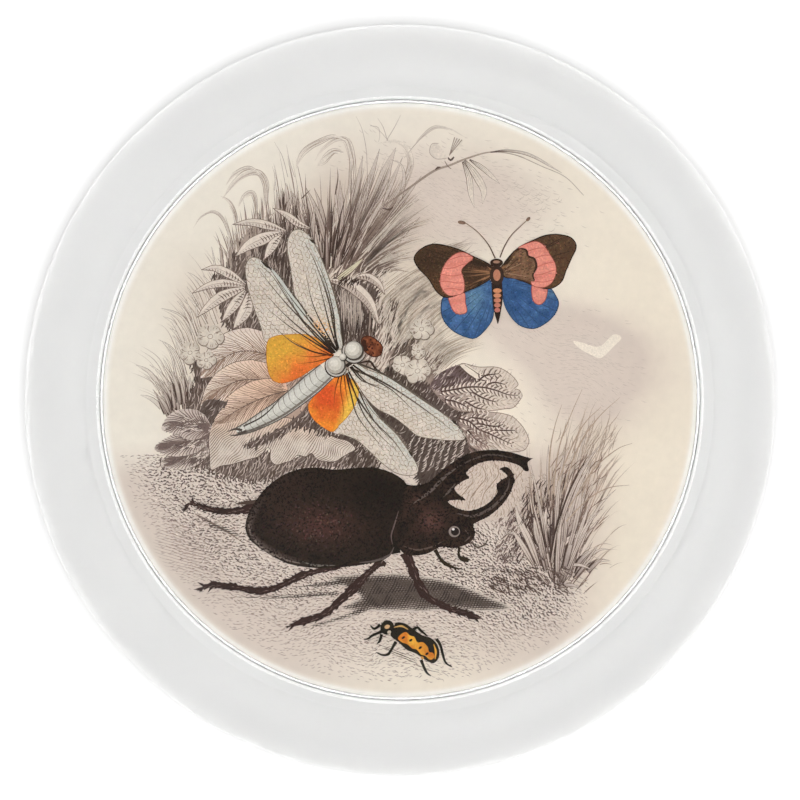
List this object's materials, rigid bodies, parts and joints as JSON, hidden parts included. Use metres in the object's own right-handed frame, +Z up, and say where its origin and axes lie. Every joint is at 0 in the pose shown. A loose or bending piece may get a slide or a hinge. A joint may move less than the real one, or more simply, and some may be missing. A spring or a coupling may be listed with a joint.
{
  "type": "glass dome paperweight with an insect print",
  "caption": "Solid clear glass dome paperweight with a recessed foot, a printed insect picture under the glass and a felt pad to rest on.",
  "frame": {"origin": "centre of the felt pad's underside, where the paperweight rests", "axes": "+Z up along the dome's axis, +Y towards the top edge of the picture, +X to the picture's right"},
  "size_m": [0.111, 0.111, 0.046],
  "materials": {
    "clear_glass": "polished",
    "cream_paper": "matte",
    "felt": "matte",
    "engraving_ink": "matte",
    "watercolour": "matte"
  },
  "bodies": {
    "root": {"glass_dome": "clear_glass", "printed_paper": "cream_paper", "felt_pad": "felt"}
  },
  "joints": []
}
